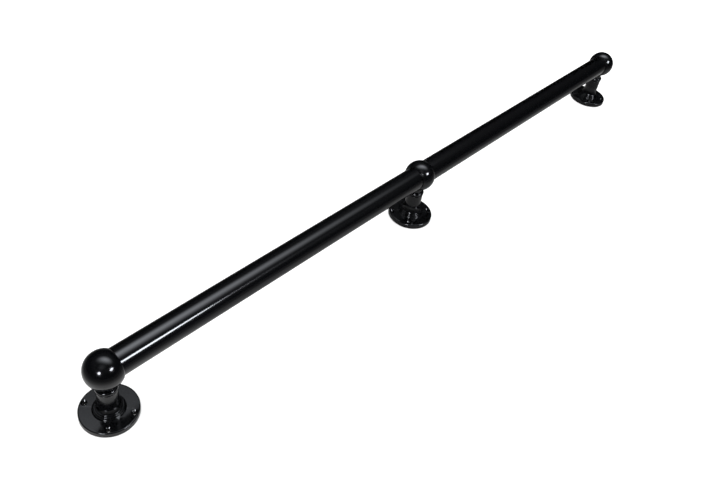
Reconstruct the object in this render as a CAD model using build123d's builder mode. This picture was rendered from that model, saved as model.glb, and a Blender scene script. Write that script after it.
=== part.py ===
"""Pool handrail: one straight tube held off the deck by three ball brackets.

Every bracket is a turned stack on its own upright axis: base flange, pillar, neck washer,
neck collar and ball, pulled together by one countersunk clamp screw from below.
The end balls are blind sockets for the tube, and the middle ball lets it pass through.

Units are millimetres. X runs along the rail, Z is up, and the origin is on the deck
below the middle of the whole length.
"""
import os

from build123d import *

os.makedirs("parts", exist_ok=True)

# ---- driving dimensions -------------------------------------------------------------
rail_height = 87.0        # deck to tube axis
end_span = 1240.0         # between the upright axes of the two end brackets
middle_offset = -21.0     # where the middle bracket is clamped along the rail

tube_radius = 19.05       # 1 1/2 in tube
tube_wall = 2.0
tube_end_gap = 1.0        # between the tube's end and the bottom of its socket

ball_radius = 25.4        # 2 in ball
mouth_distance = 15.0     # ball centre to the flat face where the tube enters
mouth_edge = 0.6          # rounding of that face's rim
socket_past_centre = 3.0  # how far an end socket runs beyond the ball centre
running_gap = 0.05        # radial clearance of every shaft in its bore

flange_radius = 37.5
flange_thickness = 8.0
flange_rim = 1.6          # rounding of the flange's upper rim
hub_radius = 20.3         # raised seat in the middle of the flange
hub_top = 10.6
hub_edge = 1.6            # rounding of the hub's upper rim
hub_foot = 0.9            # hollow where the hub rises from the flange
hole_short = 37.0         # hole spacing, short way
hole_long = 52.0          # hole spacing, long way
hole_radius = 2.6
hole_sink_radius = 4.3

pillar_top = 48.2
pillar_top_radius = 13.05
shaft_radius = 13.55       # the pillar keeps narrowing gently up to its top
shaft_height = 34.0
foot_bead_radius = 18.9   # lower bead of the pillar's foot
foot_bead_bulge = 1.3     # how far the bead stands out of its own step
foot_bead_top = 13.2
lip_bead_radius = 17.2    # upper bead of the pillar's foot
lip_bead_bulge = 1.0
lip_bead_top = 15.3
flare_radius = 14.35      # where the hollow flare above the foot ends
flare_height = 19.5

washer_radius = 13.4
washer_top = 49.6
washer_edge = 0.25
collar_radius = 14.0
collar_top = 56.0
collar_round = 2.8
neck_radius = 10.4        # short neck between the collar and the ball

spigot_radius = 8.0       # ball's spigot, through collar and washer into the pillar
spigot_bottom = 36.0
spigot_pocket = 0.5       # free space under the spigot
clamp_radius = 4.0        # M8 clamp screw
clamp_clearance = 0.3     # between the screw and the plain bores that it passes
clamp_head_radius = 7.8
clamp_head_depth = 0.7    # head face above the deck
clamp_tip = 60.7
clamp_hex = 5.0           # across flats
clamp_hex_depth = 3.0

grub_radius = 3.0         # M6 grub screws
grub_hex = 3.0
grub_hex_depth = 2.5
grub_inset = 0.4          # below the ball's surface
grub_tip_gap = 0.3        # backed off the tube
grub_inboard = 6.0        # from an end ball's centre, towards the middle of the rail
grub_spread = 7.0         # from the middle ball's centre, one each way

left_x = -end_span / 2
right_x = end_span / 2
tube_half = end_span / 2 + socket_past_centre - tube_end_gap


def section(x):
    """Upright plane through a bracket's axis: first coordinate outwards, second up."""
    return Plane(origin=(x, 0, 0), x_dir=(1, 0, 0), z_dir=(0, -1, 0))


def upright(x):
    """A bracket's own axis."""
    return Axis((x, 0, 0), (0, 0, 1))


def back_at(x, distance):
    """Plane behind the rail, its normal pointing away from the tube."""
    return Plane(origin=(x, distance, rail_height), x_dir=(1, 0, 0), z_dir=(0, 1, 0))


def rings(builder, radius):
    """The part's circular edges of this radius, lowest first."""
    circles = builder.edges().filter_by(GeomType.CIRCLE)
    return circles.filter_by(lambda e: abs(e.radius - radius) < 0.01).sort_by(Axis.Z)


def save(part, name):
    part.label = name
    export_step(part, f"parts/{name}.step")


def make_tube():
    with BuildPart() as tube:
        with BuildSketch(Plane.YZ.offset(-tube_half)):
            with Locations((0, rail_height)):
                Circle(tube_radius)
                Circle(tube_radius - tube_wall, mode=Mode.SUBTRACT)
        extrude(amount=2 * tube_half)
    return tube.part


def make_flange(x, turn):
    """Round plate with a raised hub, four screw holes and the clamp screw's seat.

    turn is how far the hole pattern is swung about the bracket's axis, in degrees.
    """
    with BuildPart() as flange:
        with BuildSketch(section(x)):
            with BuildLine():
                Polyline(
                    (0, 0),
                    (flange_radius, 0),
                    (flange_radius, flange_thickness),
                    (hub_radius, flange_thickness),
                    (hub_radius, hub_top),
                    (0, hub_top),
                    close=True,
                )
            make_face()
        revolve(axis=upright(x))
        fillet(rings(flange, flange_radius)[-1], flange_rim)
        fillet(rings(flange, hub_radius)[0], hub_foot)
        fillet(rings(flange, hub_radius)[-1], hub_edge)
        with Locations(Location((x, 0, flange_thickness), (0, 0, turn))):
            with GridLocations(hole_short, hole_long, 2, 2):
                CounterSinkHole(hole_radius, hole_sink_radius, counter_sink_angle=90)
        with Locations(Plane(origin=(x, 0, 0), z_dir=(0, 0, -1))):
            CounterSinkHole(
                clamp_radius + clamp_clearance,
                clamp_head_radius + clamp_head_depth + running_gap,
                counter_sink_angle=90,
            )
    return flange.part


def make_pillar(x):
    """Turned pillar: two foot beads, a hollow flare, then a shaft narrowing to the top."""
    bore = clamp_radius + clamp_clearance
    socket = spigot_radius + running_gap
    with BuildPart() as pillar:
        with BuildSketch(section(x)):
            with BuildLine():
                Line((bore, hub_top), (foot_bead_radius - foot_bead_bulge, hub_top))
                ThreePointArc(
                    (foot_bead_radius - foot_bead_bulge, hub_top),
                    (foot_bead_radius, (hub_top + foot_bead_top) / 2),
                    (foot_bead_radius - foot_bead_bulge, foot_bead_top),
                )
                Line(
                    (foot_bead_radius - foot_bead_bulge, foot_bead_top),
                    (lip_bead_radius - lip_bead_bulge, foot_bead_top),
                )
                ThreePointArc(
                    (lip_bead_radius - lip_bead_bulge, foot_bead_top),
                    (lip_bead_radius, (foot_bead_top + lip_bead_top) / 2),
                    (lip_bead_radius - lip_bead_bulge, lip_bead_top),
                )
                Spline(
                    (lip_bead_radius - lip_bead_bulge, lip_bead_top),
                    (flare_radius, flare_height),
                    (shaft_radius, shaft_height),
                    (pillar_top_radius, pillar_top),
                    tangents=((-0.95, 1), (-0.035, 1)),
                )
                Polyline(
                    (pillar_top_radius, pillar_top),
                    (socket, pillar_top),
                    (socket, spigot_bottom - spigot_pocket),
                    (bore, spigot_bottom - spigot_pocket),
                    (bore, hub_top),
                )
            make_face()
        revolve(axis=upright(x))
    return pillar.part


def make_washer(x):
    with BuildPart() as washer:
        with BuildSketch(Plane.XY.offset(pillar_top)):
            with Locations((x, 0)):
                Circle(washer_radius)
                Circle(spigot_radius + running_gap, mode=Mode.SUBTRACT)
        extrude(amount=washer_top - pillar_top)
        chamfer(rings(washer, washer_radius), washer_edge)
    return washer.part


def make_collar(x):
    """Round lock collar on the ball's spigot."""
    with BuildPart() as collar:
        with BuildSketch(Plane.XY.offset(washer_top)):
            with Locations((x, 0)):
                Circle(collar_radius)
                Circle(spigot_radius + running_gap, mode=Mode.SUBTRACT)
        extrude(amount=collar_top - washer_top)
        fillet(rings(collar, collar_radius), collar_round)
    return collar.part


def make_ball(x, mouths, grubs):
    """Ball on a neck and spigot, with a flat mouth on each listed side of it.

    mouths holds -1 for a mouth towards -X and +1 for one towards +X.
    """
    bore = tube_radius + running_gap
    with BuildPart() as ball:
        with Locations((x, 0, rail_height)):
            Sphere(ball_radius)
        with BuildSketch(Plane.XY.offset(collar_top)):
            with Locations((x, 0)):
                Circle(neck_radius)
        extrude(amount=rail_height - collar_top - tube_radius)
        with BuildSketch(Plane.XY.offset(spigot_bottom)):
            with Locations((x, 0)):
                Circle(spigot_radius)
        extrude(amount=collar_top - spigot_bottom)
        for side in mouths:
            face = Plane(origin=(x + side * mouth_distance, 0, rail_height), z_dir=(side, 0, 0))
            with BuildSketch(face):
                Circle(ball_radius)
            extrude(amount=ball_radius, mode=Mode.SUBTRACT)
            depth = mouth_distance + (socket_past_centre if len(mouths) == 1 else 0)
            with BuildSketch(face):
                Circle(bore)
            extrude(amount=-depth, mode=Mode.SUBTRACT)
        fillet(rings(ball, (ball_radius**2 - mouth_distance**2) ** 0.5), mouth_edge)
        with BuildSketch(Plane.XY.offset(spigot_bottom)):
            with Locations((x, 0)):
                Circle(clamp_radius + running_gap)
        extrude(amount=clamp_tip + 1 - spigot_bottom, mode=Mode.SUBTRACT)
        for grub_x in grubs:
            with BuildSketch(back_at(x + grub_x, 0)):
                Circle(grub_radius + running_gap)
            extrude(amount=ball_radius, mode=Mode.SUBTRACT)
    return ball.part


def make_clamp_screw(x):
    """M8 countersunk socket screw, head down in the flange."""
    with BuildPart() as screw:
        with BuildSketch(section(x)):
            with BuildLine():
                Polyline(
                    (0, clamp_head_depth),
                    (clamp_head_radius, clamp_head_depth),
                    (clamp_radius, clamp_head_depth + clamp_head_radius - clamp_radius),
                    (clamp_radius, clamp_tip - 1),
                    (clamp_radius - 1, clamp_tip),
                    (0, clamp_tip),
                    close=True,
                )
            make_face()
        revolve(axis=upright(x))
        with BuildSketch(Plane.XY.offset(clamp_head_depth)):
            with Locations((x, 0)):
                RegularPolygon(clamp_hex / 2, 6, major_radius=False)
        extrude(amount=clamp_hex_depth, mode=Mode.SUBTRACT)
    return screw.part


def make_grub_screws(x, grubs):
    """Socket grub screws that lock the tube, one solid for each place in grubs."""
    with BuildPart() as screws:
        for grub_x in grubs:
            inner = tube_radius + grub_tip_gap
            outer = (ball_radius**2 - grub_x**2 - grub_radius**2) ** 0.5 - grub_inset
            with BuildSketch(back_at(x + grub_x, inner)):
                Circle(grub_radius)
            extrude(amount=outer - inner)
            with BuildSketch(back_at(x + grub_x, outer)):
                RegularPolygon(grub_hex / 2, 6, major_radius=False)
            extrude(amount=-grub_hex_depth, mode=Mode.SUBTRACT)
    return screws.part


# ---- the three brackets and the tube --------------------------------------------------
# name, place along the rail, tube mouths, grub screws from the centre, flange turn
brackets = [
    ("left", left_x, (1,), (grub_inboard,), 0),
    ("middle", middle_offset, (-1, 1), (-grub_spread, grub_spread), 90),
    ("right", right_x, (-1,), (-grub_inboard,), -15),
]

for name, x, mouths, grubs, turn in brackets:
    save(make_flange(x, turn), f"{name}_base_flange")
    save(make_pillar(x), f"{name}_pillar")
    save(make_washer(x), f"{name}_neck_washer")
    save(make_collar(x), f"{name}_neck_collar")
    save(make_ball(x, mouths, grubs), f"{name}_ball")
    save(make_clamp_screw(x), f"{name}_clamp_screw")
    save(make_grub_screws(x, grubs), f"{name}_grub_screws")

save(make_tube(), "rail_tube")
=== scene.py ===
"""Looks of the pool handrail: one tube on three ball brackets, finished in glossy black.

Every visible piece is a turned surface worked out from its profile, in metres, in the
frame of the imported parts. The piece takes its place and its main sizes from the part
that it stands for.
"""
import math

import bmesh
import bpy
import numpy as np
from bpy.props import FloatProperty, FloatVectorProperty, IntProperty, PointerProperty
from mathutils import Matrix, Vector


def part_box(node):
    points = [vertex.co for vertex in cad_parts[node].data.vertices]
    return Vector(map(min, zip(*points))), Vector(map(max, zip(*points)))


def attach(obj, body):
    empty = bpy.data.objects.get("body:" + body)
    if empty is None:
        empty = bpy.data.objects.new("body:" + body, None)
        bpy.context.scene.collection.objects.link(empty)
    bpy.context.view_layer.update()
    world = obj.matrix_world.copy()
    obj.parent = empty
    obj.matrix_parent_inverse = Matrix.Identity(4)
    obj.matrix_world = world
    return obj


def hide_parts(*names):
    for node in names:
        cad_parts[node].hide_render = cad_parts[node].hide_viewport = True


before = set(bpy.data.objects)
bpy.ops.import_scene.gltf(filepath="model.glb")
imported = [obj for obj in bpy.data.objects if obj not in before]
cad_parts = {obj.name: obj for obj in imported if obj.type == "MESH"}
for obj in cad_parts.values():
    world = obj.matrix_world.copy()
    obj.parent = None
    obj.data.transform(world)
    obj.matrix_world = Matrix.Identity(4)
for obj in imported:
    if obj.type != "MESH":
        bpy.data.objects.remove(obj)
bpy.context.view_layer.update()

bl_info = {
    "name": "Pool Handrail",
    "version": (1, 0, 0),
    "blender": (4, 5, 0),
    "location": "3D View > Sidebar > Handrail",
    "description": "Builds a black pool handrail on three ball brackets",
    "category": "Add Mesh",
}

MM = 0.001
SIDES = ("left", "middle", "right")
BODY = {"left": "rail", "middle": "middle_bracket", "right": "rail"}
MOUTHS = {"left": (1,), "middle": (-1, 1), "right": (-1,)}
FLANGE_TURN = {"left": 0.0, "middle": 90.0, "right": -15.0}
GAP = 0.05 * MM        # radial clearance of a shaft in its bore
SPIGOT_R = 8.0 * MM    # ball's spigot
SCREW_R = 4.0 * MM     # clamp screw's thread
SCREW_BORE = 4.3 * MM  # plain bore that the clamp screw passes
GRUB_R = 3.0 * MM      # grub screw's thread


# ---- places and main sizes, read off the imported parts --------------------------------
def centre_of(node):
    """Middle of a node's box."""
    low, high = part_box(node)
    return (Vector(low) + Vector(high)) / 2


def half_of(node):
    """Half the sides of a node's box."""
    low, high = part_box(node)
    return (Vector(high) - Vector(low)) / 2


def top_of(node):
    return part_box(node)[1][2]


AXIS_X = {side: centre_of(f"{side}_base_flange").x for side in SIDES}
RAIL_Z = centre_of("rail_tube").z
TUBE_R = half_of("rail_tube").z
TUBE_HALF = half_of("rail_tube").x
BALL_R = half_of("left_ball").y
FLANGE_R = half_of("left_base_flange").y
HUB_TOP = top_of("left_base_flange")
PILLAR_TOP = top_of("left_pillar")
WASHER_R = half_of("left_neck_washer").y
WASHER_TOP = top_of("left_neck_washer")
COLLAR_R = half_of("left_neck_collar").y
COLLAR_TOP = top_of("left_neck_collar")
CLAMP_TIP = top_of("left_clamp_screw")
CLAMP_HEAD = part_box("left_clamp_screw")[0][2]


# ---- profiles -------------------------------------------------------------------------
def arc(centre, radius, start, end, steps):
    """Points on a circle, from one angle to another in degrees, ends included."""
    a = np.radians(np.linspace(start, end, steps))
    return np.column_stack([centre[0] + radius * np.cos(a), centre[1] + radius * np.sin(a)])


def softened(corners, steps=6):
    """Profile with rounded corners.

    corners holds (across, along, rounding). A rounded corner becomes the circular arc
    that touches both of its runs, with one more point just before and after it, so that
    the flat runs next to it stay flat to the eye.
    """
    points = np.array([c[:2] for c in corners], float)
    out = []
    for i, (p, corner) in enumerate(zip(points, corners)):
        rounding = corner[2] if len(corner) > 2 else 0.0
        if rounding <= 0:
            out.append(p[None])
            continue
        before, after = points[i - 1] - p, points[(i + 1) % len(points)] - p
        u, v = before / np.linalg.norm(before), after / np.linalg.norm(after)
        half = math.acos(np.clip(u @ v, -1, 1)) / 2
        reach = rounding / math.tan(half)
        middle = p + (u + v) / np.linalg.norm(u + v) * rounding / math.sin(half)
        first, last = p + u * reach - middle, p + v * reach - middle
        sweep = np.linspace(0, 1, steps)[:, None]
        turn = math.pi - 2 * half
        ring = (np.sin((1 - sweep) * turn) * first + np.sin(sweep * turn) * last) / math.sin(turn)
        support = 0.03 * rounding
        out.append((p + u * (reach + support))[None])
        out.append(middle + ring)
        out.append((p + v * (reach + support))[None])
    return np.concatenate(out)


def through(points, start, end, steps):
    """Smooth line through points: cubic pieces with given end directions."""
    p = np.array(points, float)
    run = np.linalg.norm(np.diff(p, axis=0), axis=1)
    slope = np.zeros_like(p)
    slope[0] = np.array(start) / np.linalg.norm(start)
    slope[-1] = np.array(end) / np.linalg.norm(end)
    step = np.diff(p, axis=0) / run[:, None]
    slope[1:-1] = (step[:-1] * run[1:, None] + step[1:] * run[:-1, None]) / (
        run[:-1] + run[1:]
    )[:, None]
    t = np.linspace(0, 1, steps)[None, :, None]
    a, b = p[:-1, None], p[1:, None]
    da, db = slope[:-1, None] * run[:, None, None], slope[1:, None] * run[:, None, None]
    curve = (
        (2 * t**3 - 3 * t**2 + 1) * a
        + (t**3 - 2 * t**2 + t) * da
        + (3 * t**2 - 2 * t**3) * b
        + (t**3 - t**2) * db
    )
    return np.concatenate([curve[i, :-1] for i in range(len(run))] + [p[-1:]])


def bulge(low, high, out, steps=17):
    """Half-round bead between two points, one above the other, standing out by out."""
    low, high = np.array(low, float), np.array(high, float)
    a = np.linspace(-math.pi / 2, math.pi / 2, steps)[:, None]
    return (low + high) / 2 + (high - low) / 2 * np.sin(a) + np.array([out, 0.0]) * np.cos(a)


# ---- turned surfaces --------------------------------------------------------------------
UPRIGHT = Matrix.Identity(3)
ALONG = Matrix(((0, 0, 1), (1, 0, 0), (0, 1, 0)))
BACKWARDS = Matrix(((-1, 0, 0), (0, 0, 1), (0, 1, 0)))


def turned(profile, place, axes=UPRIGHT, around=96, closed=False, flats=None):
    """Mesh data of a profile turned about an axis.

    A point of the surface is place + across*cos(a)*side + across*sin(a)*front +
    along*axis, for a from 0 to a full turn. flats gives each profile point a share of
    hexagon, from 0 to 1: there the distance is multiplied by cos(30)/cos(b), where b is
    the angle to the nearest flat's middle. Points on the axis are merged into one pole.
    """
    profile = np.asarray(profile, float)
    a = np.linspace(0, 2 * math.pi, around, endpoint=False)
    across = np.repeat(profile[:, :1], around, axis=1)
    if flats is not None:
        b = (a + math.pi / 6) % (math.pi / 3) - math.pi / 6
        hexagon = 1 / np.cos(b)
        share = np.asarray(flats, float)[:, None]
        across = across * (1 - share + share * hexagon[None])
    along = np.repeat(profile[:, 1:2], around, axis=1)
    local = np.stack([across * np.cos(a), across * np.sin(a), along], -1).reshape(-1, 3)
    world = local @ np.array(axes).T + np.array(place)
    rows = len(profile)
    i = np.arange(rows if closed else rows - 1)[:, None]
    j = np.arange(around)[None]
    k, m = (i + 1) % rows, (j + 1) % around
    faces = np.stack([i * around + j, i * around + m, k * around + m, k * around + j], -1)
    return world, faces.reshape(-1, 4)


def mesh_of(name, shells):
    """One mesh from turned shells, its doubles merged and its faces turned outwards."""
    offset = np.cumsum([0] + [len(v) for v, _ in shells])
    verts = np.concatenate([v for v, _ in shells])
    faces = np.concatenate([f + o for (_, f), o in zip(shells, offset)])
    mesh = bpy.data.meshes.new(name)
    mesh.from_pydata(verts.tolist(), [], faces.tolist())
    bm = bmesh.new()
    bm.from_mesh(mesh)
    bmesh.ops.remove_doubles(bm, verts=bm.verts, dist=1e-6)
    bmesh.ops.dissolve_degenerate(bm, dist=1e-7, edges=bm.edges)
    bmesh.ops.recalc_face_normals(bm, faces=bm.faces)
    bm.to_mesh(mesh)
    bm.free()
    return mesh


def combined(name, base, added=(), cut=()):
    """Object from turned shells: base, joined with the added ones, less the cut ones."""
    piece = bpy.data.objects.new(name, mesh_of(name, base))
    bpy.context.scene.collection.objects.link(piece)
    tools = []
    for kind, shells in (("UNION", added), ("DIFFERENCE", cut)):
        for shell in shells:
            tool = bpy.data.objects.new("tool", mesh_of("tool", shell))
            bpy.context.scene.collection.objects.link(tool)
            step = piece.modifiers.new(kind.title(), "BOOLEAN")
            step.operation, step.object, step.solver = kind, tool, "EXACT"
            tools.append(tool)
    if tools:
        graph = bpy.context.evaluated_depsgraph_get()
        made = bpy.data.meshes.new_from_object(piece.evaluated_get(graph))
        piece.modifiers.clear()
        old, piece.data = piece.data, made
        made.name = name
        bpy.data.meshes.remove(old)
        for tool in tools:
            data = tool.data
            bpy.data.objects.remove(tool)
            bpy.data.meshes.remove(data)
    return piece


def finished(piece, node, body, material, crease=32):
    """Shading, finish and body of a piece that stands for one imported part."""
    mesh = piece.data
    mesh.materials.clear()
    mesh.materials.append(material)
    mesh.shade_smooth()
    mesh.set_sharp_from_angle(angle=math.radians(crease))
    even = piece.modifiers.new("Even shading", "WEIGHTED_NORMAL")
    even.keep_sharp = True
    even.mode = "FACE_AREA_WITH_ANGLE"
    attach(piece, body)
    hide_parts(node)


# ---- finishes ---------------------------------------------------------------------------
def new_group(name, inputs, outputs):
    """Empty shader group with named sockets; inputs are (name, type, default)."""
    group = bpy.data.node_groups.new(name, "ShaderNodeTree")
    for label, kind, default in inputs:
        socket = group.interface.new_socket(name=label, in_out="INPUT", socket_type=kind)
        socket.default_value = default
    for label, kind in outputs:
        group.interface.new_socket(name=label, in_out="OUTPUT", socket_type=kind)
    return group, group.nodes.new("NodeGroupInput"), group.nodes.new("NodeGroupOutput")


def node(tree, kind, **settings):
    made = tree.nodes.new(kind)
    for key, value in settings.items():
        if key.startswith("in_"):
            made.inputs[key[3:].replace("_", " ")].default_value = value
        else:
            setattr(made, key, value)
    return made


def ranged(tree, source, low, high, to_low, to_high):
    """Map a value smoothly from one range to another."""
    step = node(tree, "ShaderNodeMapRange", interpolation_type="SMOOTHSTEP")
    step.inputs["From Min"].default_value, step.inputs["From Max"].default_value = low, high
    step.inputs["To Min"].default_value, step.inputs["To Max"].default_value = to_low, to_high
    tree.links.new(source, step.inputs["Value"])
    return step.outputs["Result"]


def multiply(tree, first, second):
    step = node(tree, "ShaderNodeMath", operation="MULTIPLY")
    tree.links.new(first, step.inputs[0])
    if hasattr(second, "links"):
        tree.links.new(second, step.inputs[1])
    else:
        step.inputs[1].default_value = second
    return step.outputs[0]


def coat_group():
    """Baked lacquer: a slow cloud in tone and gloss, and a very fine orange-peel height."""
    group, given, out = new_group(
        "Lacquer",
        [
            ("Stretch", "NodeSocketVector", (1.0, 1.0, 1.0)),
            ("Peel Size", "NodeSocketFloat", 900.0),
        ],
        [("Cloud", "NodeSocketFloat"), ("Gloss", "NodeSocketFloat"), ("Peel", "NodeSocketFloat")],
    )
    place = node(group, "ShaderNodeTexCoord")
    scale = node(group, "ShaderNodeVectorMath", operation="MULTIPLY")
    group.links.new(place.outputs["Object"], scale.inputs[0])
    group.links.new(given.outputs["Stretch"], scale.inputs[1])
    cloud = node(group, "ShaderNodeTexNoise", in_Scale=38.0, in_Detail=4.0, in_Roughness=0.55)
    gloss = node(group, "ShaderNodeTexNoise", in_Scale=150.0, in_Detail=5.0, in_Roughness=0.6)
    peel = node(group, "ShaderNodeTexNoise", in_Detail=2.0, in_Roughness=0.45)
    for texture in (cloud, gloss, peel):
        group.links.new(scale.outputs[0], texture.inputs["Vector"])
    group.links.new(given.outputs["Peel Size"], peel.inputs["Scale"])
    group.links.new(ranged(group, cloud.outputs["Fac"], 0.3, 0.7, 0.0, 1.0), out.inputs["Cloud"])
    group.links.new(ranged(group, gloss.outputs["Fac"], 0.3, 0.7, 0.0, 1.0), out.inputs["Gloss"])
    group.links.new(peel.outputs["Fac"], out.inputs["Peel"])
    return group


def rub_group():
    """Handling marks: corners where the lacquer is thin, and a few fine dust specks."""
    group, given, out = new_group(
        "Rub and dust",
        [
            ("Corner", "NodeSocketFloat", 0.56),
            ("Speck Size", "NodeSocketFloat", 260.0),
        ],
        [("Rub", "NodeSocketFloat"), ("Dust", "NodeSocketFloat")],
    )
    place = node(group, "ShaderNodeTexCoord")
    shape = node(group, "ShaderNodeNewGeometry")
    above = node(group, "ShaderNodeMath", operation="SUBTRACT")
    group.links.new(shape.outputs["Pointiness"], above.inputs[0])
    group.links.new(given.outputs["Corner"], above.inputs[1])
    corner = ranged(group, above.outputs[0], 0.0, 0.12, 0.0, 1.0)
    patch = node(group, "ShaderNodeTexNoise", in_Scale=120.0, in_Detail=6.0, in_Roughness=0.7)
    group.links.new(place.outputs["Object"], patch.inputs["Vector"])
    broken = ranged(group, patch.outputs["Fac"], 0.42, 0.62, 0.0, 1.0)
    group.links.new(multiply(group, corner, broken), out.inputs["Rub"])
    specks = node(group, "ShaderNodeTexVoronoi", feature="F1")
    group.links.new(place.outputs["Object"], specks.inputs["Vector"])
    group.links.new(given.outputs["Speck Size"], specks.inputs["Scale"])
    dot = ranged(group, specks.outputs["Distance"], 0.04, 0.10, 1.0, 0.0)
    apart = node(group, "ShaderNodeSeparateColor")
    group.links.new(specks.outputs["Color"], apart.inputs[0])
    rare = ranged(group, apart.outputs[0], 0.90, 0.95, 0.0, 1.0)
    group.links.new(multiply(group, dot, rare), out.inputs["Dust"])
    return group


def coated(name, look, stretch, peel_height):
    """Black lacquer over metal, built from the lacquer and the rub groups."""
    material = bpy.data.materials.new(name)
    material.use_nodes = True
    tree = material.node_tree
    shader = tree.nodes["Principled BSDF"]
    lacquer = node(tree, "ShaderNodeGroup", node_tree=bpy.data.node_groups["Lacquer"])
    lacquer.inputs["Stretch"].default_value = stretch
    rub = node(tree, "ShaderNodeGroup", node_tree=bpy.data.node_groups["Rub and dust"])
    tone = node(tree, "ShaderNodeMix", data_type="RGBA")
    tone.inputs["A"].default_value = (*look.black, 1)
    tone.inputs["B"].default_value = (*(Vector(look.black) * 1.5), 1)
    tree.links.new(lacquer.outputs["Cloud"], tone.inputs["Factor"])
    worn = node(tree, "ShaderNodeMix", data_type="RGBA")
    worn.inputs["B"].default_value = (*look.rubbed, 1)
    tree.links.new(multiply(tree, rub.outputs["Rub"], 0.35), worn.inputs["Factor"])
    tree.links.new(tone.outputs["Result"], worn.inputs["A"])
    dusty = node(tree, "ShaderNodeMix", data_type="RGBA")
    dusty.inputs["B"].default_value = (*look.dust, 1)
    tree.links.new(multiply(tree, rub.outputs["Dust"], 0.25), dusty.inputs["Factor"])
    tree.links.new(worn.outputs["Result"], dusty.inputs["A"])
    tree.links.new(dusty.outputs["Result"], shader.inputs["Base Color"])
    tree.links.new(
        ranged(tree, lacquer.outputs["Gloss"], 0.0, 1.0, look.gloss - 0.02, look.gloss + 0.03),
        shader.inputs["Roughness"],
    )
    bump = node(tree, "ShaderNodeBump", in_Strength=0.5, in_Distance=peel_height)
    tree.links.new(lacquer.outputs["Peel"], bump.inputs["Height"])
    tree.links.new(bump.outputs["Normal"], shader.inputs["Normal"])
    shader.inputs["IOR"].default_value = 1.5
    return material


def screw_steel(look):
    """Blackened screw steel: darker and rougher, with a fine noise in its surface height."""
    material = bpy.data.materials.new("Blackened screw steel")
    material.use_nodes = True
    tree = material.node_tree
    shader = tree.nodes["Principled BSDF"]
    lacquer = node(tree, "ShaderNodeGroup", node_tree=bpy.data.node_groups["Lacquer"])
    lacquer.inputs["Stretch"].default_value = (3.0, 3.0, 3.0)
    rub = node(tree, "ShaderNodeGroup", node_tree=bpy.data.node_groups["Rub and dust"])
    tone = node(tree, "ShaderNodeMix", data_type="RGBA")
    tone.inputs["A"].default_value = (*look.steel, 1)
    tone.inputs["B"].default_value = (*(Vector(look.steel) * 2.2), 1)
    tree.links.new(lacquer.outputs["Cloud"], tone.inputs["Factor"])
    worn = node(tree, "ShaderNodeMix", data_type="RGBA")
    worn.inputs["B"].default_value = (*look.rubbed, 1)
    tree.links.new(multiply(tree, rub.outputs["Rub"], 0.6), worn.inputs["Factor"])
    tree.links.new(tone.outputs["Result"], worn.inputs["A"])
    tree.links.new(worn.outputs["Result"], shader.inputs["Base Color"])
    tree.links.new(
        ranged(tree, lacquer.outputs["Gloss"], 0.0, 1.0, 0.32, 0.48), shader.inputs["Roughness"]
    )
    bump = node(tree, "ShaderNodeBump", in_Strength=0.6, in_Distance=0.00006)
    tree.links.new(lacquer.outputs["Peel"], bump.inputs["Height"])
    tree.links.new(bump.outputs["Normal"], shader.inputs["Normal"])
    shader.inputs["Metallic"].default_value = 0.9
    return material


def bracket_piece(piece, side, part):
    """Finish a coated piece of one bracket."""
    finished(piece, f"{side}_{part}", BODY[side], finish("Black coated metal"))


def screw_piece(piece, side, part):
    """Finish a steel piece of one bracket."""
    finished(piece, f"{side}_{part}", BODY[side], finish("Blackened screw steel"))


def finish(name):
    """The named finish, made on first use."""
    look = bpy.context.scene.handrail_look
    if "Lacquer" not in bpy.data.node_groups:
        coat_group()
        rub_group()
    if name not in bpy.data.materials:
        if name == "Blackened screw steel":
            screw_steel(look)
        elif name == "Black coated tube":
            coated(name, look, (0.02, 1.0, 1.0), 0.00002)
        else:
            coated(name, look, (1.0, 1.0, 1.0), 0.00003)
    return bpy.data.materials[name]


# ---- settings -----------------------------------------------------------------------------
class HandrailShape(bpy.types.PropertyGroup):
    """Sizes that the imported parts' boxes don't tell."""

    mouth: FloatProperty(
        name="Mouth distance", description="Ball centre to the flat face round the tube",
        default=15.0 * MM, unit="LENGTH",
    )
    tube_wall: FloatProperty(
        name="Tube wall", description="Wall thickness of the tube", default=2.0 * MM, unit="LENGTH"
    )
    neck: FloatProperty(
        name="Neck radius", description="Radius of the short neck under a ball",
        default=10.4 * MM, unit="LENGTH",
    )
    flange_thickness: FloatProperty(
        name="Flange thickness", description="Thickness of the base flange at its rim",
        default=8.0 * MM, unit="LENGTH",
    )
    flange_rim: FloatProperty(
        name="Flange rim", description="Rounding of the flange's upper rim",
        default=1.6 * MM, unit="LENGTH",
    )
    hub: FloatProperty(
        name="Hub radius", description="Radius of the flange's raised seat",
        default=20.3 * MM, unit="LENGTH",
    )
    hole: FloatProperty(
        name="Hole radius", description="Radius of a deck screw hole",
        default=2.6 * MM, unit="LENGTH",
    )
    sink: FloatProperty(
        name="Countersink radius", description="Radius of a hole's countersink at the top",
        default=4.3 * MM, unit="LENGTH",
    )
    hole_long: FloatProperty(
        name="Hole spacing, long", description="Long way of the hole pattern",
        default=52.0 * MM, unit="LENGTH",
    )
    hole_short: FloatProperty(
        name="Hole spacing, short", description="Short way of the hole pattern",
        default=37.0 * MM, unit="LENGTH",
    )
    pillar_top: FloatProperty(
        name="Pillar top radius", description="Radius of the pillar under the washer",
        default=13.05 * MM, unit="LENGTH",
    )
    shaft: FloatProperty(
        name="Shaft radius", description="Radius of the pillar at half its height",
        default=13.55 * MM, unit="LENGTH",
    )
    foot_bead: FloatProperty(
        name="Foot bead radius", description="Outer radius of the pillar's lower bead",
        default=18.9 * MM, unit="LENGTH",
    )
    lip_bead: FloatProperty(
        name="Lip bead radius", description="Outer radius of the pillar's upper bead",
        default=17.2 * MM, unit="LENGTH",
    )
    smoothness: IntProperty(
        name="Smoothness", description="Faces round a turned piece", default=128, min=48, max=256
    )


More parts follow.
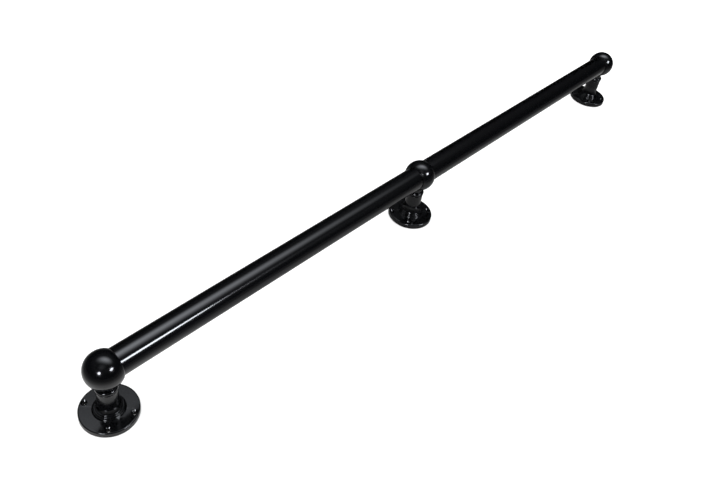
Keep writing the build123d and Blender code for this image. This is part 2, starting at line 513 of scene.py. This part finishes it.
class HandrailLook(bpy.types.PropertyGroup):
    """Colours and gloss of the finishes."""

    black: FloatVectorProperty(
        name="Black", description="Colour of the lacquer", subtype="COLOR",
        default=(0.0012, 0.0013, 0.0016), min=0, max=1,
    )
    rubbed: FloatVectorProperty(
        name="Rubbed", description="Colour where the lacquer is thin at a corner", subtype="COLOR",
        default=(0.045, 0.046, 0.050), min=0, max=1,
    )
    dust: FloatVectorProperty(
        name="Dust", description="Colour of the dust specks", subtype="COLOR",
        default=(0.06, 0.06, 0.06), min=0, max=1,
    )
    steel: FloatVectorProperty(
        name="Screw steel", description="Colour of the blackened screws", subtype="COLOR",
        default=(0.012, 0.012, 0.013), min=0, max=1,
    )
    gloss: FloatProperty(
        name="Roughness", description="Roughness of the lacquer", default=0.12, min=0, max=1,
        subtype="FACTOR",
    )
    floor: FloatVectorProperty(
        name="Floor", description="Colour of the floor", subtype="COLOR",
        default=(0.9, 0.9, 0.9), min=0, max=1,
    )


# ---- the pieces -----------------------------------------------------------------------------
class HANDRAIL_OT_tube(bpy.types.Operator):
    """Build the straight tube"""

    bl_idname = "handrail.tube"
    bl_label = "Tube"

    def execute(self, context):
        shape = context.scene.handrail_shape
        bore = TUBE_R - shape.tube_wall
        stations = np.linspace(-TUBE_HALF, TUBE_HALF, 49)
        outside = np.column_stack([np.full(49, TUBE_R), stations])
        inside = np.column_stack([np.full(49, bore), stations[::-1]])
        shell = turned(
            np.concatenate([outside, inside]), (0, 0, RAIL_Z), ALONG, shape.smoothness, closed=True
        )
        piece = combined("tube", [shell])
        finished(piece, "rail_tube", "rail", finish("Black coated tube"))
        return {"FINISHED"}


def ball_profile(mouths, mouth, bore, socket_end):
    """Sphere cut flat at its mouths, with the bore for the tube, as (across, along)."""
    rim = math.degrees(math.acos(mouth / BALL_R))
    edge = 3 * math.degrees(0.6 * MM / BALL_R)
    lip = math.sqrt(BALL_R**2 - mouth**2)
    mouth_side = np.array(
        [(lip - 0.05 * MM, mouth - 0.45 * MM), (lip - 0.2 * MM, mouth - 0.15 * MM),
         (lip - 0.5 * MM, mouth), (lip - 0.65 * MM, mouth), (bore + 0.1 * MM, mouth),
         (bore, mouth)]
    )
    if len(mouths) == 1:
        outside = arc((0, 0), BALL_R, 180, rim + edge, 72)[:, ::-1]
        socket = np.array([(bore, socket_end), (0, socket_end)])
        return np.concatenate([outside, mouth_side, socket]), False
    outside = arc((0, 0), BALL_R, 180 - rim - edge, rim + edge, 56)[:, ::-1]
    other = mouth_side[::-1] * (1, -1)
    return np.concatenate([other, outside, mouth_side]), True


class HANDRAIL_OT_balls(bpy.types.Operator):
    """Build the three balls with their necks, tube sockets and grub screw holes"""

    bl_idname = "handrail.balls"
    bl_label = "Balls"

    def execute(self, context):
        shape = context.scene.handrail_shape
        socket_past = 3.0 * MM
        clamp, grub = SCREW_R + GAP, GRUB_R + GAP
        for side in SIDES:
            centre = (AXIS_X[side], 0, RAIL_Z)
            profile, closed = ball_profile(
                MOUTHS[side], shape.mouth, TUBE_R + GAP, -socket_past
            )
            if MOUTHS[side] == (-1,):
                profile = profile * (1, -1)
            ball = turned(profile, centre, ALONG, shape.smoothness, closed)
            spigot_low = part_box(f"{side}_ball")[0][2]
            stem_top = RAIL_Z - TUBE_R - 1.5 * MM
            stem = turned(
                softened(
                    [(0, spigot_low), (SPIGOT_R, spigot_low, 0.4 * MM), (SPIGOT_R, COLLAR_TOP),
                     (shape.neck, COLLAR_TOP, 0.3 * MM), (shape.neck, stem_top), (0, stem_top)]
                ),
                (AXIS_X[side], 0, 0), UPRIGHT, shape.smoothness,
            )
            clamp_hole = turned(
                [(0, spigot_low - MM), (clamp, spigot_low - MM), (clamp, CLAMP_TIP + MM),
                 (0, CLAMP_TIP + 2 * MM)],
                (AXIS_X[side], 0, 0), UPRIGHT, 48,
            )
            holes = [[clamp_hole]]
            for x in grub_places(side):
                holes.append([turned(
                    [(0, TUBE_R - MM), (grub, TUBE_R - MM), (grub, BALL_R - 1.1 * MM),
                     (grub + 0.35 * MM, BALL_R - 0.3 * MM), (grub + 0.35 * MM, BALL_R + MM),
                     (0, BALL_R + MM)],
                    (x, 0, RAIL_Z), BACKWARDS, 48,
                )])
            piece = combined(f"{side}_ball_piece", [ball], [[stem]], holes)
            bracket_piece(piece, side, "ball")
        return {"FINISHED"}


def grub_places(side):
    """X of a ball's grub screws, from the box of their node."""
    low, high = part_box(f"{side}_grub_screws")
    if high[0] - low[0] > 3 * GRUB_R:
        return [low[0] + GRUB_R, high[0] - GRUB_R]
    return [(low[0] + high[0]) / 2]


class HANDRAIL_OT_necks(bpy.types.Operator):
    """Build the round lock collars and the thin washers below them"""

    bl_idname = "handrail.necks"
    bl_label = "Collars and washers"

    def execute(self, context):
        shape = context.scene.handrail_shape
        bore = SPIGOT_R + GAP
        for side in SIDES:
            place = (AXIS_X[side], 0, 0)
            collar = turned(
                softened(
                    [(bore, WASHER_TOP), (COLLAR_R, WASHER_TOP, 2.8 * MM),
                     (COLLAR_R, COLLAR_TOP, 2.8 * MM), (bore, COLLAR_TOP)], 12,
                ),
                place, UPRIGHT, shape.smoothness, True,
            )
            piece = combined(f"{side}_collar", [collar])
            bracket_piece(piece, side, "neck_collar")
            washer = turned(
                softened(
                    [(bore, PILLAR_TOP), (WASHER_R, PILLAR_TOP, 0.25 * MM),
                     (WASHER_R, WASHER_TOP, 0.25 * MM), (bore, WASHER_TOP)], 4,
                ),
                place, UPRIGHT, shape.smoothness, True,
            )
            piece = combined(f"{side}_washer", [washer])
            bracket_piece(piece, side, "neck_washer")
        return {"FINISHED"}


class HANDRAIL_OT_pillars(bpy.types.Operator):
    """Build the turned pillars with the two beads at their foot"""

    bl_idname = "handrail.pillars"
    bl_label = "Pillars"

    def execute(self, context):
        shape = context.scene.handrail_shape
        bore, socket, ledge = SCREW_BORE, SPIGOT_R + GAP, 35.5 * MM
        foot_out, lip_out = 1.3 * MM, 1.0 * MM
        foot, foot_top = shape.foot_bead - foot_out, 13.2 * MM
        lip, lip_top = shape.lip_bead - lip_out, 15.3 * MM
        for side in SIDES:
            flare = through(
                [(lip, lip_top), (shape.shaft + 0.8 * MM, 19.5 * MM), (shape.shaft, 34 * MM),
                 (shape.pillar_top, PILLAR_TOP)],
                (-0.95, 1), (-0.035, 1), 14,
            )
            inside = softened(
                [(socket, PILLAR_TOP, 0.2 * MM), (socket, ledge), (bore, ledge), (bore, HUB_TOP)]
            )
            profile = np.concatenate([
                [(bore + 0.1 * MM, HUB_TOP)],
                bulge((foot, HUB_TOP), (foot, foot_top), foot_out),
                bulge((lip, foot_top), (lip, lip_top), lip_out),
                flare[1:-1],
                [(shape.pillar_top, PILLAR_TOP - 0.15 * MM),
                 (shape.pillar_top - 0.15 * MM, PILLAR_TOP)],
                inside[1:],
            ])
            shell = turned(profile, (AXIS_X[side], 0, 0), UPRIGHT, shape.smoothness, True)
            piece = combined(f"{side}_pillar_piece", [shell])
            bracket_piece(piece, side, "pillar")
        return {"FINISHED"}


class HANDRAIL_OT_flanges(bpy.types.Operator):
    """Build the round base flanges with their hubs and countersunk holes"""

    bl_idname = "handrail.flanges"
    bl_label = "Base flanges"

    def execute(self, context):
        shape = context.scene.handrail_shape
        thick = shape.flange_thickness
        seat, bore = 8.55 * MM, SCREW_BORE
        hub_edge, hub_foot = 1.6 * MM, 0.9 * MM
        for side in SIDES:
            body = turned(
                softened([
                    (bore, seat - bore), (seat, 0), (FLANGE_R, 0, 0.25 * MM),
                    (FLANGE_R, thick, shape.flange_rim), (shape.hub, thick, hub_foot),
                    (shape.hub, HUB_TOP, hub_edge), (bore, HUB_TOP),
                ], 12),
                (AXIS_X[side], 0, 0), UPRIGHT, shape.smoothness, True,
            )
            depth = shape.sink - shape.hole
            edge = 0.3 * MM
            drill = softened([
                (0, -MM), (shape.hole, -MM), (shape.hole, thick - depth, 0.3 * MM),
                (shape.sink, thick, 0.3 * MM), (shape.sink + edge, thick + MM), (0, thick + MM),
            ], 4)
            swing = Matrix.Rotation(math.radians(FLANGE_TURN[side]), 3, "Z")
            axis = Vector((AXIS_X[side], 0, 0))
            drills = [
                turned(
                    drill,
                    axis + swing @ Vector((i * shape.hole_short / 2, j * shape.hole_long / 2, 0)),
                    UPRIGHT, 48,
                )
                for i in (-1, 1) for j in (-1, 1)
            ]
            piece = combined(f"{side}_flange", [body], (), [drills])
            bracket_piece(piece, side, "base_flange")
        return {"FINISHED"}


class HANDRAIL_OT_screws(bpy.types.Operator):
    """Build the clamp screws below and the grub screws behind"""

    bl_idname = "handrail.screws"
    bl_label = "Screws"

    def execute(self, context):
        for side in SIDES:
            head, shaft, key = 7.8 * MM, SCREW_R, 2.5 * MM
            profile = np.array([
                (0, CLAMP_HEAD + 3 * MM), (key, CLAMP_HEAD + 3 * MM),
                (key, CLAMP_HEAD + 0.15 * MM),
                (key + 0.15 * MM, CLAMP_HEAD), (key + 0.8 * MM, CLAMP_HEAD),
                (head - 0.2 * MM, CLAMP_HEAD), (head, CLAMP_HEAD + 0.2 * MM),
                (shaft, CLAMP_HEAD + head - shaft), (shaft, CLAMP_TIP - MM),
                (shaft - MM, CLAMP_TIP), (0, CLAMP_TIP),
            ])
            hexagon = (0, 1, 1, 1, 0, 0, 0, 0, 0, 0, 0)
            shell = turned(profile, (AXIS_X[side], 0, 0), UPRIGHT, 72, flats=hexagon)
            piece = combined(f"{side}_clamp", [shell])
            screw_piece(piece, side, "clamp_screw")
            low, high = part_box(f"{side}_grub_screws")
            radius, key = GRUB_R, 1.5 * MM
            profile = np.array([
                (0, low[1]), (radius - 0.6 * MM, low[1]), (radius, low[1] + 0.6 * MM),
                (radius, high[1] - 0.3 * MM), (radius - 0.3 * MM, high[1]),
                (key + 0.1 * MM, high[1]), (key, high[1] - 0.1 * MM),
                (key, high[1] - 2.5 * MM), (0, high[1] - 2.5 * MM),
            ])
            hexagon = (0, 0, 0, 0, 0, 1, 1, 1, 0)
            shells = [
                turned(profile, (x, 0, RAIL_Z), BACKWARDS, 72, flats=hexagon)
                for x in grub_places(side)
            ]
            piece = combined(f"{side}_grubs", shells)
            screw_piece(piece, side, "grub_screws")
        return {"FINISHED"}


# ---- stage ----------------------------------------------------------------------------------
FAR = 20.0           # distance of every lamp, in metres
SPREADS = 5.0        # width of a softbox, in spreads of its bell curve


def hung(name, data, place, turn, radiance, glow):
    """Put an area lamp in its place, seen in gloss only."""
    area = data.size * data.size_y * (1 if data.shape == "RECTANGLE" else math.pi / 4)
    data.energy = radiance * math.pi * area
    data.color = glow
    piece = bpy.data.objects.new(name, data)
    piece.matrix_world = Matrix.Translation(place) @ turn.to_4x4()
    piece.visible_diffuse = False
    piece.visible_camera = False
    bpy.context.scene.collection.objects.link(piece)


def spot(name, direction, size, radiance, glow):
    """Far oval lamp that faces the object; size is its width and height over its distance."""
    data = bpy.data.lights.new(name, "AREA")
    data.shape, data.size, data.size_y = "ELLIPSE", size[0] * FAR, size[1] * FAR
    towards = Vector(direction).normalized()
    hung(name, data, towards * FAR, towards.to_track_quat("Z", "Y").to_matrix(), radiance, glow)


def softbox(name, centre, spread, turn, radiance, glow):
    """Level lamp overhead that fades from its middle like a bell curve.

    centre and spread (along, across) are slopes seen from the object, and the lamp is two
    and a half spreads to each side.
    """
    data = bpy.data.lights.new(name, "AREA")
    data.shape = "RECTANGLE"
    data.size, data.size_y = SPREADS * spread[0] * FAR, SPREADS * spread[1] * FAR
    data.use_nodes = True
    tree = data.node_tree
    shape = node(tree, "ShaderNodeNewGeometry")
    middle = node(tree, "ShaderNodeVectorMath", operation="DISTANCE")
    middle.inputs[1].default_value = (0.5, 0.5, 0.0)
    flat = node(tree, "ShaderNodeVectorMath", operation="MULTIPLY")
    tree.links.new(shape.outputs["Parametric"], flat.inputs[0])
    flat.inputs[1].default_value = (1.0, 1.0, 0.0)
    tree.links.new(flat.outputs[0], middle.inputs[0])
    square = multiply(tree, middle.outputs["Value"], middle.outputs["Value"])
    fade = node(tree, "ShaderNodeMath", operation="EXPONENT")
    tree.links.new(multiply(tree, square, -(SPREADS**2) / 2), fade.inputs[0])
    tree.links.new(fade.outputs[0], tree.nodes["Emission"].inputs["Strength"])
    place = Vector((centre[0] * FAR, centre[1] * FAR, FAR))
    hung(name, data, place, Matrix.Rotation(math.radians(turn), 3, "Z"), radiance, glow)


def pale_floor(look):
    """Pale matt floor. Its colour in gloss is painted light: painted shade darkens it at a low
    slant, and a painted pool of light brightens it near the left end.
    """
    pale = bpy.data.materials.new("Pale floor")
    pale.use_nodes = True
    tree = pale.node_tree
    shader = tree.nodes["Principled BSDF"]
    place = node(tree, "ShaderNodeTexCoord")
    parts = node(tree, "ShaderNodeSeparateXYZ")
    tree.links.new(place.outputs["Object"], parts.inputs[0])
    # Painted reflection: in gloss the floor's colour follows the slant of the ray, with painted
    # shade at a low slant.
    slant = node(tree, "ShaderNodeLayerWeight")
    flat_view = ranged(tree, slant.outputs["Facing"], 0.45, 0.78, 0.225, 0.05)
    dim = ranged(tree, slant.outputs["Facing"], 0.80, 1.0, 1.0, 0.4)
    # Painted pool of light near the left end, seen only in gloss.
    near = ranged(tree, parts.outputs["X"], -0.60, -0.35, 1.0, 0.0)
    steep = ranged(tree, slant.outputs["Facing"], 0.25, 0.50, 1.1, 0.0)
    painted_pool_lift = node(tree, "ShaderNodeMath", operation="ADD")
    tree.links.new(multiply(tree, near, steep), painted_pool_lift.inputs[0])
    painted_pool_lift.inputs[1].default_value = 1.0
    painted_gloss_tone = multiply(tree, multiply(tree, flat_view, dim), painted_pool_lift.outputs[0])
    # Camera and diffuse rays see the even pale floor; gloss rays see the painted light and shade.
    seen = node(tree, "ShaderNodeLightPath")
    tone = node(tree, "ShaderNodeMix", data_type="RGBA")
    tone.inputs["A"].default_value = (*look.floor, 1)
    tree.links.new(seen.outputs["Is Glossy Ray"], tone.inputs["Factor"])
    tree.links.new(painted_gloss_tone, tone.inputs["B"])
    tree.links.new(tone.outputs["Result"], shader.inputs["Base Color"])
    shader.inputs["Roughness"].default_value = 1.0
    shader.inputs["Specular IOR Level"].default_value = 0.0
    return pale


def lay_floor(look):
    """Wide round floor, a hair below the flanges so that no two faces share a plane."""
    extent, rings, level = 30.0, 40, -0.2 * MM
    reach = np.concatenate([[0], np.geomspace(0.2, extent, rings)])
    profile = np.column_stack([reach, np.zeros(len(reach))])
    floor, faces = turned(profile, (0, 0, level), UPRIGHT, 64)
    mesh = bpy.data.meshes.new("floor")
    mesh.from_pydata(floor.tolist(), [], faces.tolist())
    bm = bmesh.new()
    bm.from_mesh(mesh)
    bmesh.ops.remove_doubles(bm, verts=bm.verts, dist=1e-6)
    for face in bm.faces:
        if face.normal.z < 0:
            face.normal_flip()
    bm.to_mesh(mesh)
    bm.free()
    mesh.materials.append(pale_floor(look))
    ground = bpy.data.objects.new("floor", mesh)
    bpy.context.scene.collection.objects.link(ground)


def set_camera():
    """Camera looking down at the rail from beyond its left end."""
    camera = bpy.data.objects.new("camera", bpy.data.cameras.new("camera"))
    bpy.context.scene.collection.objects.link(camera)
    camera.data.sensor_width = 36.0
    camera.data.lens = 37.14
    camera.data.clip_end = 200.0
    azimuth, elevation, roll = (math.radians(a) for a in (-55.822, 42.762, 11.994))
    target, distance = Vector((-0.15406, 0.0, 0.01747)), 1.2002
    back = Vector((
        math.sin(azimuth) * math.cos(elevation),
        -math.cos(azimuth) * math.cos(elevation),
        math.sin(elevation),
    ))
    camera.matrix_world = Matrix.Translation(target + back * distance) @ (
        back.to_track_quat("Z", "Y").to_matrix().to_4x4() @ Matrix.Rotation(roll, 4, "Z")
    )
    return camera


class HANDRAIL_OT_stage(bpy.types.Operator):
    """Lay the pale floor, hang the soft lamps and set the camera"""

    bl_idname = "handrail.stage"
    bl_label = "Stage"

    def execute(self, context):
        scene = context.scene
        look = scene.handrail_look
        scene.view_settings.view_transform = "Standard"

        lay_floor(look)
        world = bpy.data.worlds.new("Soft dome")
        scene.world = world
        world.use_nodes = True
        sky = world.node_tree.nodes["Background"]
        sky.inputs["Color"].default_value = (1, 1, 1, 1)
        sky.inputs["Strength"].default_value = 2.0
        world.cycles_visibility.glossy = False

        cool = (0.93, 0.97, 1.04)
        spot("front lamp", (0.25, -0.77, 0.583), (0.34, 0.20), 30.0, cool)
        spot("side lamp", (-0.749, -0.414, 0.517), (0.24, 0.24), 34.0, cool)
        softbox("overhead softbox", (0.29, 0.14), (0.36, 0.20), -48.0, 4.4, cool)
        softbox("dim softbox", (-0.40, -0.30), (0.25, 0.20), 0.0, 0.45, cool)
        softbox("ceiling", (0.0, 0.0), (0.9, 0.9), 0.0, 0.14, cool)
        scene.camera = set_camera()
        return {"FINISHED"}


PIECES = (
    HANDRAIL_OT_tube,
    HANDRAIL_OT_balls,
    HANDRAIL_OT_necks,
    HANDRAIL_OT_pillars,
    HANDRAIL_OT_flanges,
    HANDRAIL_OT_screws,
    HANDRAIL_OT_stage,
)


class HANDRAIL_PT_panel(bpy.types.Panel):
    """Sizes, finishes and build steps of the handrail"""

    bl_idname = "HANDRAIL_PT_panel"
    bl_label = "Pool Handrail"
    bl_space_type = "VIEW_3D"
    bl_region_type = "UI"
    bl_category = "Handrail"

    def draw(self, context):
        for group in (context.scene.handrail_shape, context.scene.handrail_look):
            box = self.layout.box()
            for name in group.bl_rna.properties.keys():
                if name not in ("rna_type", "name"):
                    box.prop(group, name)
        for piece in PIECES:
            self.layout.operator(piece.bl_idname)


CLASSES = (HandrailShape, HandrailLook, *PIECES, HANDRAIL_PT_panel)


def register():
    for made in CLASSES:
        bpy.utils.register_class(made)
    bpy.types.Scene.handrail_shape = PointerProperty(type=HandrailShape)
    bpy.types.Scene.handrail_look = PointerProperty(type=HandrailLook)


def unregister():
    del bpy.types.Scene.handrail_look
    del bpy.types.Scene.handrail_shape
    for made in reversed(CLASSES):
        bpy.utils.unregister_class(made)


def main():
    register()
    for piece in PIECES:
        group, name = piece.bl_idname.split(".")
        getattr(getattr(bpy.ops, group), name)()


if __name__ == "__main__":
    main()
